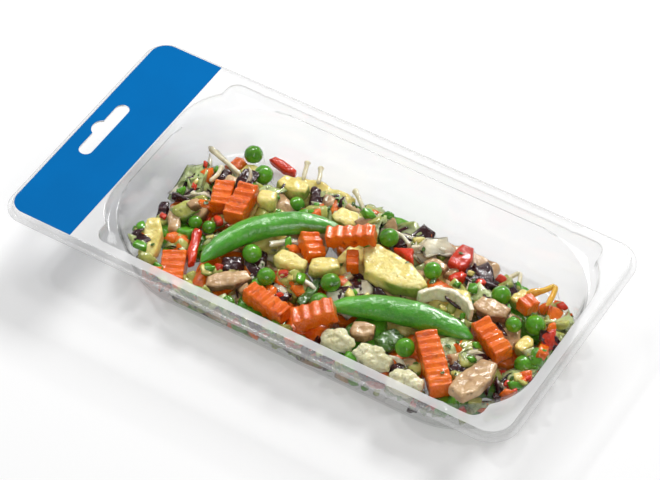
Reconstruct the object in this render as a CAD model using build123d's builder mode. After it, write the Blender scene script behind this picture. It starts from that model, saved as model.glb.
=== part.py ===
from build123d import *
import math
import os

# Tray: a clear sheet formed with a flat flange round one deep cavity
flange_length = 228.0
flange_width = 112.0
tray_height = 28.6
sheet = 0.6
header_width = 32.0
rim_width = 5.0
header_corner = 8.0
foot_corner = 10.5
mouth_corner = 28.0
wall_corner = 38.0
draft = 12.0
floor_bevel = 4.2
floor_bevel_blend = 1.4
skirt_drop = 3.0
skirt_lip = 2.0
fold_bevel = 0.8

# Stacking ears in the four corners of the mouth, and the ledge below them
ledge_depth = 4.5
ear_length = 18.0
ear_width = 13.0
ear_setback = 8.0
ear_corner = 5.0

# Hanging slot in the header, with a round hump on its outer side
slot_length = 32.0
slot_width = 6.0
slot_inset = 10.0
hump_radius = 4.6
hump_offset = 0.9
hump_blend = 1.2

# Skin film and the printed panel on it
film = 0.15
film_margin = 1.6
film_clearance = 0.1
print_thickness = 0.1
print_margin = 1.4
print_corner = 7.0

# Mound of food under the film: it falls off towards the header and towards the far side
mound_top = 26.8
mound_end = 13.6
mound_side = 15.4
mound_end_flat = 10.0
mound_side_flat = 6.0
mound_end_run = 34.0
mound_side_run = 31.0
mound_end_round = 20.0
mound_side_round = 14.0

# Room that the food's places are given in: the length and width of the cavity's floor, and its depth
food_room = (179.0, 90.0, 28.0)

# Food: what the cut pieces share
ripple_pitch = 4.0
ripple_height = 0.6
edge_cut = 0.8
ball_sides = 9
belt_share = 0.55
belt_taper = 18.0
cap_share = 0.85
cap_taper = 48.0
pod_tip = 9.0
pod_bevel = 0.29
slab_shares = (
    (-0.5, -0.25), (-0.42, 0.4), (-0.05, 0.5), (0.44, 0.38), (0.5, -0.2), (0.12, -0.5), (-0.3, -0.46),
)
floret_heads = ((-0.27, 0.1, 0.44), (0.02, 0.2, 0.5), (0.29, 0.05, 0.42), (-0.02, -0.22, 0.4))

# Big pieces at the bottom, laid in rows
lower_size = (32, 14.8, 6)
lower_pitch = (34, 16)
lower_height = 3.4
middle_size = (28, 18, 4.5)
middle_pitch = (22, 30)
middle_height = 9.0
lower_turns = (3, -4, 2, -2, 4)
lower_columns = 5
lower_rows = 5
middle_columns = 6
middle_rows = 2
middle_start = -28.0

# Places worked out from the sizes above
flange_top = tray_height
mouth_left = -flange_length / 2 + header_width
mouth_right = flange_length / 2 - rim_width
mouth_length = mouth_right - mouth_left
mouth_middle = (mouth_left + mouth_right) / 2
mouth_width = flange_width - 2 * rim_width
slot_x = -flange_length / 2 + slot_inset
lip_level = tray_height - skirt_drop
cavity_depth = flange_top - sheet
wall_run = cavity_depth * math.tan(math.radians(draft))
spread = (
    (mouth_length - 2 * wall_run) / food_room[0],
    (mouth_width - 2 * wall_run) / food_room[1],
    cavity_depth / food_room[2],
)
fill = min(spread)


def flange_outline(level, grow):
    """The flange seen from above, with its two corner sizes, grown or shrunk evenly."""
    with BuildSketch(Plane.XY.offset(level)) as outline:
        Rectangle(flange_length + 2 * grow, flange_width + 2 * grow)
        corners = outline.vertices().group_by(Axis.X)
        fillet(corners[0], header_corner + grow)
        corners = [v for v in outline.vertices() if v.X > flange_length / 2 + grow - 0.1]
        fillet(corners, foot_corner + grow)
    return outline.sketch


def mouth_outline(level, grow, corner):
    """The mouth of the cavity seen from above."""
    with BuildSketch(Plane.XY.offset(level)) as outline:
        with Locations((mouth_middle, 0)):
            RectangleRounded(mouth_length + 2 * grow, mouth_width + 2 * grow, corner + grow)
    return outline.sketch


def slot_outline(level):
    """The hanging slot seen from above: a long hole with a round hump."""
    with BuildSketch(Plane.XY.offset(level)) as hole:
        with Locations((slot_x, 0)):
            SlotOverall(slot_length, slot_width, rotation=90)
        with Locations((slot_x - hump_offset, 0)):
            Circle(hump_radius)
        joins = [v for v in hole.vertices() if abs(v.Y) < hump_radius and v.X < slot_x]
        fillet(joins, hump_blend)
    return hole.sketch


def cavity_form(grow, floor_level):
    """The cavity as a solid, grown for the outside of the sheet."""
    with BuildPart() as form:
        deep = flange_top - floor_level
        extrude(mouth_outline(flange_top, grow, wall_corner), amount=-deep, taper=draft)
        chamfer(form.edges().group_by(Axis.Z)[0], floor_bevel)
        chamfer(form.edges().group_by(Axis.Z)[0], floor_bevel_blend)
        extrude(mouth_outline(flange_top, grow, mouth_corner), amount=-(ledge_depth + grow), taper=draft)
        ear_x = mouth_length / 2 - ear_setback - ear_length / 2
        ear_y = mouth_width / 2 - ear_width / 2
        with BuildSketch(Plane.XY.offset(flange_top)):
            with Locations((mouth_middle, 0)):
                with GridLocations(2 * ear_x, 2 * ear_y, 2, 2):
                    RectangleRounded(ear_length + 2 * grow, ear_width + 2 * grow, ear_corner + grow)
        extrude(amount=-(ledge_depth + grow), taper=draft / 2)
    return form.part


def seat(at, turn=0, lean=0, roll=0):
    """The plane a piece of food is made on: its middle, seen from the middle of the floor, its turn and tilts."""
    across, up, above = (share * way for share, way in zip(spread, at))
    origin = (mouth_middle + across, up, sheet + above)
    along = (math.cos(math.radians(turn)), math.sin(math.radians(turn)), 0)
    return Plane(origin=origin, x_dir=along, z_dir=(0, 0, 1)).rotated((roll, lean, 0))


def crinkle_piece(place, length, width, thick):
    """A stick cut with a waved blade, so that ridges run across its top and underside."""
    length, width, thick = fill * length, fill * width, fill * thick
    side = Plane(origin=place.origin, x_dir=place.x_dir, z_dir=-place.y_dir)
    ripples = max(round(length / ripple_pitch), 1)
    step = length / ripples / 4
    heights = [0, ripple_height, 0, -ripple_height]
    wave = [(step * i - length / 2, heights[i % 4]) for i in range(4 * ripples + 1)]
    top = [(x, rise + thick / 2) for x, rise in wave]
    underside = [(x, rise - thick / 2) for x, rise in reversed(wave)]
    with BuildPart() as piece:
        with BuildSketch(side):
            with BuildLine():
                Polyline(*top, *underside, close=True)
            make_face()
        extrude(amount=width / 2, both=True)
    return piece.part


def cut_piece(place, corners, thick):
    """A flat cut piece with blunted rims: its corners seen from above, and its thickness."""
    corners = [(fill * across, fill * up) for across, up in corners]
    thick = fill * thick
    with BuildPart() as piece:
        with BuildSketch(place.offset(-thick / 2)):
            with BuildLine():
                Polyline(*corners, close=True)
            make_face()
        extrude(amount=thick)
        rims = piece.edges().group_by(Axis(place.origin, place.z_dir))
        chamfer(rims[0] + rims[-1], min(edge_cut, thick / 4))
    return piece.part


def slab_piece(place, length, width, thick):
    """An uneven flat slab, as a knife leaves it."""
    return cut_piece(place, [(across * length, up * width) for across, up in slab_shares], thick)


def ball_piece(place, radius):
    """A round piece with flat facets, such as a pea: a belt that narrows both ways, and a cap on each end."""
    radius = fill * radius
    narrowing = math.tan(math.radians(belt_taper)) / math.cos(math.pi / ball_sides)
    belt = belt_share * radius
    with BuildPart() as piece:
        with BuildSketch(Plane.XY):
            RegularPolygon(radius, ball_sides)
        extrude(amount=belt, taper=belt_taper)
        with BuildSketch(Plane.XY.offset(belt)):
            RegularPolygon(radius - belt * narrowing, ball_sides)
        extrude(amount=(radius - belt) * cap_share, taper=cap_taper)
        mirror(about=Plane.XY)
    return place * piece.part


def strip_piece(place, bends, width, thick):
    """A ribbon on edge: its path seen from above, how wide it stands and how thick it is."""
    bends = [(fill * across, fill * up) for across, up in bends]
    width, thick = fill * width, fill * thick
    with BuildPart() as piece:
        with BuildSketch(place.offset(-width / 2)):
            with BuildLine():
                Polyline(*bends)
            trace(line_width=thick)
        extrude(amount=width)
    return piece.part


def pod_piece(place, chord, rise, width, thick):
    """A curved pod: a bevelled band turned along an arc, drawn in to its tips from above and from the side."""
    chord, rise, width, thick = fill * chord, fill * rise, fill * width, fill * thick
    arc_radius = chord**2 / (8 * rise) + rise / 2
    reach = math.degrees(math.asin(chord / 2 / arc_radius))
    centre = (0, rise / 2 - arc_radius, 0)
    start = math.radians(90 + reach)
    outward = (math.cos(start), math.sin(start), 0)
    onward = (-math.sin(start), math.cos(start), 0)
    with BuildPart() as piece:
        with BuildSketch(Plane(origin=centre, x_dir=outward, z_dir=onward)):
            with Locations((arc_radius, 0)):
                band = Rectangle(width, thick)
            chamfer(band.vertices(), thick * pod_bevel)
        revolve(axis=Axis(centre, (0, 0, -1)), revolution_arc=2 * reach)
        with BuildSketch(Plane.XY):
            with BuildLine():
                ThreePointArc((-chord / 2, -rise / 2), (0, (rise + width) / 2), (chord / 2, -rise / 2))
                ThreePointArc((chord / 2, -rise / 2), (0, (rise - width) / 2), (-chord / 2, -rise / 2))
            make_face()
        extrude(amount=thick, both=True, mode=Mode.INTERSECT)
        with BuildSketch(Plane.XZ):
            with BuildLine():
                ThreePointArc((-chord / 2 - pod_tip, 0), (0, thick / 2), (chord / 2 + pod_tip, 0))
                ThreePointArc((chord / 2 + pod_tip, 0), (0, -thick / 2), (-chord / 2 - pod_tip, 0))
            make_face()
        extrude(amount=chord, both=True, mode=Mode.INTERSECT)
    return place * piece.part


def floret_piece(place, length, width, thick):
    """A piece of floret: a cut slab of stalk with a cluster of round heads on it."""
    with BuildPart() as piece:
        add(slab_piece(place, length, width, 0.6 * thick))
        for across, up, size in floret_heads:
            spot = place.from_local_coords((fill * across * length, fill * up * width, 0.1 * fill * thick))
            add(ball_piece(Plane(origin=spot, x_dir=place.x_dir, z_dir=place.z_dir), size * thick))
    return piece.part


def mound_profile(reach, foot, flat, run, shoulder, lift):
    """The outline of the mound from one side: flat at its foot, a rounded shoulder, and flat on top."""
    low = sheet + lift + spread[2] * foot
    high = sheet + lift + spread[2] * mound_top
    corners = [(flat - reach, low), (flat + run - reach, high)]
    with BuildSketch(Plane.XY, mode=Mode.PRIVATE) as outline:
        with BuildLine():
            Polyline((-reach, 0), (-reach, low), *corners, (reach, high), (reach, 0), close=True)
        make_face()
        bends = [v for v in outline.vertices() if any(abs(v.X - x) + abs(v.Y - z) < 0.01 for x, z in corners)]
        fillet(bends, shoulder)
    return outline.sketch


def film_space(shrink, lift):
    """The room in the cavity above the food, drawn in from the walls and lifted off the food."""
    half_length, half_width = mouth_length / 2 + 1, mouth_width / 2 + 1
    with BuildPart() as mound:
        end_view = Plane(origin=(mouth_middle, 0, 0), x_dir=(1, 0, 0), z_dir=(0, -1, 0))
        side_view = Plane(origin=(mouth_middle, 0, 0), x_dir=(0, -1, 0), z_dir=(-1, 0, 0))
        end_sizes = (spread[0] * mound_end_flat, spread[0] * mound_end_run, mound_end_round)
        side_sizes = (spread[1] * mound_side_flat, spread[1] * mound_side_run, mound_side_round)
        along = end_view * mound_profile(half_length, mound_end, *end_sizes, lift)
        across = side_view * mound_profile(half_width, mound_side, *side_sizes, lift)
        extrude(along, amount=half_length, both=True)
        extrude(across, amount=2 * half_length, both=True, mode=Mode.INTERSECT)
    with BuildPart() as room:
        extrude(mouth_outline(flange_top, -shrink, wall_corner), amount=-tray_height, taper=draft)
        add(mound.part, mode=Mode.SUBTRACT)
    return room.part


with BuildPart() as tray:
    extrude(flange_outline(lip_level, skirt_lip), amount=sheet)
    extrude(flange_outline(lip_level, 0), amount=skirt_drop)
    chamfer(tray.faces().sort_by(Axis.Z)[-1].edges(), fold_bevel)
    extrude(flange_outline(lip_level, -sheet), amount=skirt_drop - sheet, mode=Mode.SUBTRACT)
    add(cavity_form(sheet, 0))
    add(cavity_form(0, sheet), mode=Mode.SUBTRACT)
    extrude(slot_outline(flange_top), amount=-sheet, mode=Mode.SUBTRACT)
tray.part.label = "tray"

with BuildPart() as skin_film:
    extrude(flange_outline(flange_top, -film_margin), amount=film)
    extrude(slot_outline(flange_top), amount=film, mode=Mode.SUBTRACT)
    extrude(mouth_outline(flange_top, -film_clearance - film, wall_corner), amount=film, mode=Mode.SUBTRACT)
    add(film_space(film_clearance, 0))
    add(film_space(film_clearance + film, film), mode=Mode.SUBTRACT)
skin_film.part.label = "skin_film"

panel_end = -flange_length / 2 + film_margin + print_margin
panel_half = flange_width / 2 - film_margin - print_margin
panel_side = mouth_left - print_margin
panel_corners = [
    (panel_side, panel_half), (panel_end, panel_half), (panel_end, -panel_half), (panel_side, -panel_half),
]
with BuildPart() as header_label:
    with BuildSketch(Plane.XY.offset(flange_top + film)) as panel:
        with BuildLine():
            Polyline(*panel_corners, close=True)
        make_face()
        fillet(panel.vertices().group_by(Axis.X)[0], print_corner)
    extrude(amount=print_thickness)
    extrude(slot_outline(flange_top + film), amount=print_thickness, mode=Mode.SUBTRACT)
header_label.part.label = "header_label"

carrots = [
    (seat((55, -28, 16.2), -47), 28, 9, 8),
    (seat((-62.5, -33.4, 5.8), -63, -6, -6), 17, 10, 8),
    (seat((-65, 7, 10.8), -68), 13, 8, 7),
    (seat((-17, -1, 15.8), -40, 12, -12), 12, 8, 6),
    (seat((-4.5, 8.5, 20.8), 25, -12, 0), 20, 7, 6),
    (seat((-54, 4.5, 15.4), -80, -6, 0), 18, 8.5, 7),
    (seat((-16.5, -35.5, 15.6), -10), 20, 7, 7),
    (seat((4, -33, 19), 40, -12, 12), 17, 8, 7),
    (seat((0.5, 1.5, 15), -60), 8, 5, 6),
    (seat((70.5, 19, 13.8), 70, 6, -6), 7, 6, 6),
    (seat((68, -5.5, 15.6), -28), 18, 8, 7),
]
red_peppers = [
    (seat((-60.5, -21, 8.8), -66), 20, 4.5, 4),
    (seat((-56.5, 40.1, 3.4), -8, 0, 6), 14, 4.5, 4),
    (seat((34.5, 30.5, 9), 90), 13, 9, 4.5),
    (seat((38, 20.5, 8.8), 60), 8, 5, 4),
]
mushroom_slices = [
    (seat((74, -30, 20), 85, -6, -12), 26, 12, 4.5),
    (seat((-76, -12, 8.8), 120), 14, 5.5, 4),
    (seat((-37, -32, 13.6), 43), 19, 8, 4),
    (seat((22.5, -27, 14), 20), 10, 8, 5),
    (seat((27.5, 21.5, 8.8), 0), 10, 6, 4),
    (seat((60, 9, 14), 0), 15, 9, 5),
]
squash_chunks = [
    (seat((-77.5, -26.5, 8.8), 110, 0, 12), 20, 9, 6),
    (seat((-64, 30, 3.4), 10), 12, 7, 6),
    (seat((-43.5, 27, 9.8), 0), 14, 8, 6),
    (seat((-14.5, 22.5, 10.2), 0), 13, 9, 7),
    (seat((-20, -12, 14.6), 0), 14, 8, 6),
    (seat((-7.5, -7, 14.6), 30), 13, 8, 6),
    (seat((78.5, 2.5, 9.8), 80), 9, 6, 6),
    (seat((65, 23.5, 9.2), 80), 9, 6, 5),
    (seat((-46, 11.5, 15), 20), 8, 8, 7),
]
wood_ears = [
    (seat((-85.1, -7, 3.5), 110), 10, 5, 3),
    (seat((-73, 18.5, 8.2), 60), 9, 5, 3),
    (seat((-33, 27, 8.4), -65), 14, 5, 3.5),
    (seat((-34.5, -14, 9), 90, -6, 0), 11, 7, 4),
    (seat((-40, -24, 13.6), 40), 9, 7, 4),
]
leaf_greens = [
    (seat((-6.5, -20, 12.6), 90), 16, 5, 2),
    (seat((33.5, -24.5, 13), 70), 12, 9, 3),
]
florets = [
    (seat((17, -37, 14.6), 10), 13, 8, 8),
    (seat((33, -36.5, 14), 0), 16, 9, 8),
    (seat((50.5, -41.5, 14.6), 0, -6, 12), 15, 10, 8),
]
onion_slices = [
    (seat((5.5, 25.5, 9.2), 0), [(-7, 0), (-2, 1.5), (3, 1.5), (8, -1)], 5, 1.5),
    (seat((21, 27, 9.2), 20), [(-7, -1), (0, 1), (7, 0)], 5, 1.5),
    (seat((44, 5, 15), 0, 0, -12), [(-11, -8), (-7, 0), (0, 2), (8, -0.5), (11, -4)], 6, 2),
]
wood_ear_strips = [
    (seat((-76, -1.5, 8.8), -8), [(-8, -1), (0, 0.5), (6, 0), (9, -3)], 4, 1.5),
    (seat((48, 26, 8.2), 0, 6, 0), [(-8, 4), (-4, 0), (1, -2.5), (7, -1)], 4, 1.5),
]
bean_sprouts = [
    (seat((-73, 24.5, 7.4), 0, -6, 0), [(-12, 5.5), (-4, 3), (4, -1), (11, -5.5)], 2, 2),
    (seat((-76, 25.5, 9.4), 0, -6, 0), [(-10, 3.5), (-3, 1), (4, -1), (10, -3)], 2, 1.6),
    (seat((-73.5, 16.5, 11), 0), [(-1, 5), (0, 0), (-0.5, -5)], 2, 1.6),
    (seat((-46, 40.5, 6.8), 0, -6, -12), [(-2, 5), (0, 0), (2, -5)], 2, 1.6),
    (seat((-39.5, 40.5, 7.2), 0, 0, -12), [(-2, 5), (0.5, 0), (2, -4)], 2, 1.6),
    (seat((-16.5, 36, 7.6), 0), [(-6.5, 5.5), (-1, 1), (6.5, -5.5)], 2, 1.8),
    (seat((55.5, 35.8, 2.5), 0, -12, 0), [(-4.5, -5), (-2, 2), (0, 5), (2, 1), (4, -5)], 2, 1.6),
    (seat((-74, 3.5, 7.8), 0), [(-5, 1), (0, 0.5), (5, -1)], 2, 1.5),
    (seat((71.5, 29, 12), 0, 12, -12), [(-5, -4), (0, 1), (3, 5), (4.5, 1), (5, -5)], 2.5, 2.2),
]
peas = [
    (seat((-69, 36.5, 7.4), 0), 4.2),
    (seat((-58, 27, 10), 0), 4.3),
    (seat((-37.5, 20, 10), 0), 3.5),
    (seat((5, 22, 12.6), 0), 4.3),
    (seat((59, 18, 13.8), 0), 4.2),
    (seat((77, 13.5, 11), 0), 4.5),
    (seat((82.5, -5.5, 9.6), 0), 4.2),
    (seat((71, 6.5, 14.8), 0), 3.5),
    (seat((-67.5, -9.5, 9.6), 0), 3),
    (seat((-61.5, -8.5, 9), 0), 3),
    (seat((-36, -16, 15.2), 0), 4.2),
    (seat((-24.5, -23.5, 15.4), 0), 4),
    (seat((-1, -13, 15.6), 0), 4.3),
    (seat((0.5, -24, 15.4), 0), 4.2),
    (seat((41.5, -27, 16.4), 0), 4.2),
    (seat((29.5, 15, 13.8), 0), 4),
]

with BuildPart() as pod_front:
    add(pod_piece(seat((32.5, -14, 16), 15.7), 58.7, 5.6, 12, 9))
pod_front.part.label = "pod_front"

with BuildPart() as pod_back:
    add(pod_piece(seat((-35, -5.5, 16), 48.5), 58.5, 11, 11, 9))
pod_back.part.label = "pod_back"

with BuildPart() as squash_wedge:
    wedge_corners = [(-15, 4), (-11, 9), (6, 7), (17, 1), (16, -3), (6, -7), (-8, -7)]
    add(cut_piece(seat((16.5, 4, 15), 0), wedge_corners, 7))
squash_wedge.part.label = "squash_wedge"

with BuildPart() as red_pepper_tip:
    add(cut_piece(seat((15.5, 17, 12.2), 0, -12, -12), [(-6.5, 2), (1.5, 5), (6.5, -4)], 4))
red_pepper_tip.part.label = "red_pepper_tip"


def save(part, name):
    """Name one part and write it out."""
    part.label = name
    export_step(part, f"parts/{name}.step")


os.makedirs("parts", exist_ok=True)
for whole in (tray, skin_film, header_label, pod_front, pod_back, squash_wedge, red_pepper_tip):
    save(whole.part, whole.part.label)

single_kinds = [
    ("carrot", crinkle_piece, carrots),
    ("red_pepper", slab_piece, red_peppers),
    ("mushroom_slice", slab_piece, mushroom_slices),
    ("squash_chunk", slab_piece, squash_chunks),
    ("wood_ear", slab_piece, wood_ears),
    ("wood_ear_strip", strip_piece, wood_ear_strips),
    ("cauliflower", floret_piece, florets),
    ("onion_slice", strip_piece, onion_slices),
    ("leaf_green", slab_piece, leaf_greens),
]
for kind, make, places in single_kinds:
    for number, place in enumerate(places, 1):
        with BuildPart() as piece:
            add(make(*place))
        save(piece.part, f"{kind}_{number}")

for kind, make, places in [("peas", ball_piece, peas), ("bean_sprouts", strip_piece, bean_sprouts)]:
    with BuildPart() as group:
        for place in places:
            add(make(*place))
    save(group.part, kind)

lower_places = {"lower_carrots": [], "lower_squash": [], "lower_greens": [], "lower_mushrooms": []}
lower_names = list(lower_places)
for column in range(lower_columns):
    for row in range(lower_rows):
        across, up = column - lower_columns // 2, row - lower_rows // 2
        if abs(across * up) < 4:
            at = (across * lower_pitch[0], up * lower_pitch[1], lower_height)
            name = lower_names[(column + 2 * row) % 4]
            lower_places[name].append((seat(at, lower_turns[row]), *lower_size))
for column in range(middle_columns):
    for row in range(middle_rows):
        at = ((column - 2) * middle_pitch[0], middle_start + row * middle_pitch[1], middle_height)
        turn = 90 + lower_turns[(middle_rows * column + row) % 5]
        lower_places[lower_names[(2 * column + row) % 4]].append((seat(at, turn), *middle_size))
for name, places in lower_places.items():
    with BuildPart() as layer:
        for place in places:
            add(slab_piece(*place))
    save(layer.part, name)
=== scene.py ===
import math
import random

import bmesh
import bpy
import numpy as np
from mathutils import Matrix, Vector, noise
from mathutils.bvhtree import BVHTree


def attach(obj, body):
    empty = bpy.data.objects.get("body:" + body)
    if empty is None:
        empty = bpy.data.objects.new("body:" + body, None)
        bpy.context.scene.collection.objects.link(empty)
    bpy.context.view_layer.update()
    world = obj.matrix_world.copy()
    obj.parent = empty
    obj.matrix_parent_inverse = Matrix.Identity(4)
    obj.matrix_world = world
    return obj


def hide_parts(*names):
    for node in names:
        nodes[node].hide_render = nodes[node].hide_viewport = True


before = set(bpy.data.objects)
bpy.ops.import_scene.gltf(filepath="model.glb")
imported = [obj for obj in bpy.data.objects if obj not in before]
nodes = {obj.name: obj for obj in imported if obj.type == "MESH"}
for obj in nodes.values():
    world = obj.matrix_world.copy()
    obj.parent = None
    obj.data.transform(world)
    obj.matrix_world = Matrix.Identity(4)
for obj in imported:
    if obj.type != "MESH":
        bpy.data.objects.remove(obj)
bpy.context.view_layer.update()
random.seed(7)
collection = bpy.context.scene.collection

# Camera, as the photograph was taken
azimuth = math.radians(31.63)
elevation = math.radians(47.95)
camera_distance = 1.2
middle_level = 0.0143
aim_right = 0.0037
aim_up = 0.0050
focal_pixels = 3000
image_width = 660
sensor = 36.0

# The formed sheet, in metres from the middle of the pack, with the header at the left
base_level = 0.0006
ledge_level = 0.0241
flange_top = 0.0286
flange_half = (0.114, 0.056)
header_corner = 0.008
end_corner = 0.0105
lip_width = 0.002
lip_level = 0.0262
lip_round = 0.0005
flange_round = 0.0008
mouth_middle = 0.0135
mouth_half = (0.0955, 0.051)
mouth_corner = 0.028
mouth_round = 0.0006
wall_corner = 0.038
ear_place = (0.0785, 0.0445)
ear_half = (0.009, 0.0065)
ear_corner = 0.005
wall_slope = math.tan(math.radians(12))
foot_depth = 0.01041
foot_level = 0.0061
foot_round = 0.0055
sheet = 0.0006
seal_fade = 0.001

# How far food keeps from the floor, the wall and the bend between them
floor_gap = 0.0003
wall_gap = 0.0007
bend_gap = 0.00079

# The hanging slot: a straight slot with a hump towards the edge
slot_place = -0.104
slot_half = 0.013
slot_round = 0.003
hump_place = -0.1049
hump_round = 0.0046
slot_rim = (0.0075, 0.0185)
cutter_level = 0.02
cutter_height = 0.015

# The film and its printed panel
film_edge = -0.0009
film_lift = 0.00012
film_seal_level = 0.0280
film_seal_fade = 0.0005
film_around = 600
tray_around = 720
header_rows = 8
drape_rows = 84
drape_rounds = 3
drape_edge = 0.001
drape_top = 0.024
panel_outer = -0.1131
panel_inner = -0.0826
panel_half = 0.0551
panel_corner = 0.0071
panel_level = 0.02874
panel_thickness = 0.0001

# A look straight down starts above the pack
above = 0.05
down = Vector((0, 0, -1))


def make_camera():
    """A long lens, level, aimed a little off the middle of the pack."""
    flat = math.cos(elevation)
    back = Vector((math.sin(azimuth) * flat, -math.cos(azimuth) * flat, math.sin(elevation)))
    right = Vector((math.cos(azimuth), math.sin(azimuth), 0))
    up = back.cross(right)
    data = bpy.data.cameras.new("camera")
    data.lens = focal_pixels * sensor / image_width
    data.sensor_width = sensor
    data.clip_start = 0.05
    data.clip_end = 20
    camera = bpy.data.objects.new("camera", data)
    collection.objects.link(camera)
    camera.location = Vector((0, 0, middle_level)) + right * aim_right + up * aim_up + back * camera_distance
    camera.rotation_mode = "QUATERNION"
    camera.rotation_quaternion = (-back).to_track_quat("-Z", "Y")
    bpy.context.scene.camera = camera


def area_light(name, at, size, power):
    """A square soft box that faces the pack."""
    data = bpy.data.lights.new(name, "AREA")
    data.size = size
    data.energy = power
    light = bpy.data.objects.new(name, data)
    collection.objects.link(light)
    light.location = at
    light.rotation_mode = "QUATERNION"
    light.rotation_quaternion = (-Vector(at)).to_track_quat("-Z", "Y")


# Materials


class Shader:
    """A node material with short calls for the nodes it needs."""

    def __init__(self, name):
        self.material = bpy.data.materials.new(name)
        self.material.use_nodes = True
        self.tree = self.material.node_tree
        self.tree.nodes.clear()
        self.out = self.add("ShaderNodeOutputMaterial")
        where = self.add("ShaderNodeTexCoord")
        self.place = where.outputs["Object"]
        self.facing = self.add("ShaderNodeSeparateXYZ")
        self.link(where.outputs["Normal"], self.facing.inputs[0])

    def add(self, kind, **values):
        """A node with its settings."""
        node = self.tree.nodes.new(kind)
        for key, value in values.items():
            setattr(node, key, value)
        return node

    def link(self, a, b):
        """Join an output to an input."""
        self.tree.links.new(a, b)

    def set(self, socket, value):
        """Give a socket a number, a colour or another node's output."""
        if isinstance(value, (int, float)):
            socket.default_value = value
        elif isinstance(value, tuple):
            socket.default_value = (*value, 1) if socket.type == "RGBA" else value
        else:
            self.link(value, socket)

    def noise(self, scale, detail=4, rough=0.6, distort=0.0):
        """A noise from 0 to 1 at so many waves a metre."""
        node = self.add("ShaderNodeTexNoise")
        node.inputs["Scale"].default_value = scale
        node.inputs["Detail"].default_value = detail
        node.inputs["Roughness"].default_value = rough
        node.inputs["Distortion"].default_value = distort
        self.link(self.place, node.inputs["Vector"])
        return node.outputs["Fac"]

    def ramp(self, source, stops):
        """Colours or greys set along a value."""
        node = self.add("ShaderNodeValToRGB")
        items = node.color_ramp.elements
        while len(items) < len(stops):
            items.new(0.5)
        for item, (at, color) in zip(items, stops):
            item.position = at
            item.color = (color, color, color, 1) if isinstance(color, (int, float)) else (*color, 1)
        self.link(source, node.inputs["Fac"])
        return node.outputs["Color"]

    def mix(self, share, a, b):
        """One colour over another."""
        node = self.add("ShaderNodeMix", data_type="RGBA")
        for name, value in (("Factor", share), ("A", a), ("B", b)):
            socket = next(s for s in node.inputs if s.name == name and s.enabled)
            self.set(socket, value)
        return next(s for s in node.outputs if s.enabled)

    def combine(self, operation, a, b):
        """One step of arithmetic."""
        node = self.add("ShaderNodeMath", operation=operation)
        self.set(node.inputs[0], a)
        self.set(node.inputs[1], b)
        return node.outputs[0]

    def bump(self, height, depth, strength):
        """Fine relief, its depth in metres."""
        node = self.add("ShaderNodeBump")
        node.inputs["Distance"].default_value = depth
        node.inputs["Strength"].default_value = strength
        self.link(height, node.inputs["Height"])
        return node.outputs["Normal"]

    def over(self, share, a, b):
        """One finished shader over another."""
        node = self.add("ShaderNodeMixShader")
        self.link(share, node.inputs["Fac"])
        self.link(a.outputs[0], node.inputs[1])
        self.link(b.outputs[0], node.inputs[2])
        return node

    def surface(self, **values):
        """The main shader, its plain values set on its own sockets."""
        node = self.add("ShaderNodeBsdfPrincipled")
        for key, value in values.items():
            self.set(node.inputs[key.replace("_", " ")], value)
        self.link(node.outputs[0], self.out.inputs["Surface"])


def food_material(name, stops, scale, rough, soak, glow, relief=0.0004, relief_scale=500, rim=None):
    """Moist cut vegetable: clouded, finely rough, wetly coated, with skin or a browned rim at its sides."""
    s = Shader(name)
    color = s.ramp(s.noise(scale, 6, 0.62, 0.6), stops)
    fine = s.ramp(s.noise(scale * 5, 3, 0.7), ((0.3, 0.0), (0.75, 0.4)))
    color = s.mix(fine, color, stops[-1][1])
    pits = s.ramp(s.noise(scale * 2.4, 4, 0.7), ((0.28, 0.75), (0.42, 0.0)))
    color = s.mix(pits, color, tuple(0.5 * c for c in stops[0][1]))
    if rim is not None:
        rim_color, rim_share = rim
        side = s.ramp(s.facing.outputs[2], ((0.25, 1.0), (0.75, 0.0)))
        patches = s.ramp(s.noise(45, 2), ((0.42, 0.0), (0.55, rim_share)))
        color = s.mix(s.combine("MULTIPLY", side, patches), color, rim_color)
    normal = s.bump(s.noise(relief_scale, 4, 0.6), relief, 0.8)
    shine = s.ramp(s.noise(scale * 2, 3), ((0.35, rough * 0.7), (0.7, min(rough * 1.7, 1.0))))
    s.surface(
        Base_Color=color, Roughness=shine, Normal=normal, Specular_IOR_Level=0.15,
        Subsurface_Weight=soak, Subsurface_Radius=glow, Subsurface_Scale=0.003,
        Coat_Weight=0.75, Coat_Roughness=0.05, Coat_Normal=normal,
    )
    return s.material


def pod_material():
    """Smooth green pod skin with light mottling, pale at its stem."""
    s = Shader("pod_skin")
    greens = ((0.25, (0.03, 0.22, 0.008)), (0.5, (0.065, 0.38, 0.015)), (0.8, (0.14, 0.54, 0.035)))
    color = s.ramp(s.noise(70, 5, 0.55, 0.3), greens)
    fine = s.ramp(s.noise(900, 2), ((0.35, 0.0), (0.8, 0.35)))
    color = s.mix(fine, color, (0.22, 0.52, 0.06))
    tip = s.add("ShaderNodeAttribute", attribute_name="tip")
    color = s.mix(tip.outputs["Fac"], color, (0.62, 0.66, 0.25))
    normal = s.bump(s.noise(170, 5, 0.6), 0.0014, 0.7)
    s.surface(
        Base_Color=color, Roughness=0.3, Normal=normal,
        Subsurface_Weight=0.2, Subsurface_Radius=(0.4, 1.0, 0.1), Subsurface_Scale=0.003,
        Coat_Weight=0.8, Coat_Roughness=0.07, Coat_Normal=normal,
    )
    return s.material


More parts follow.
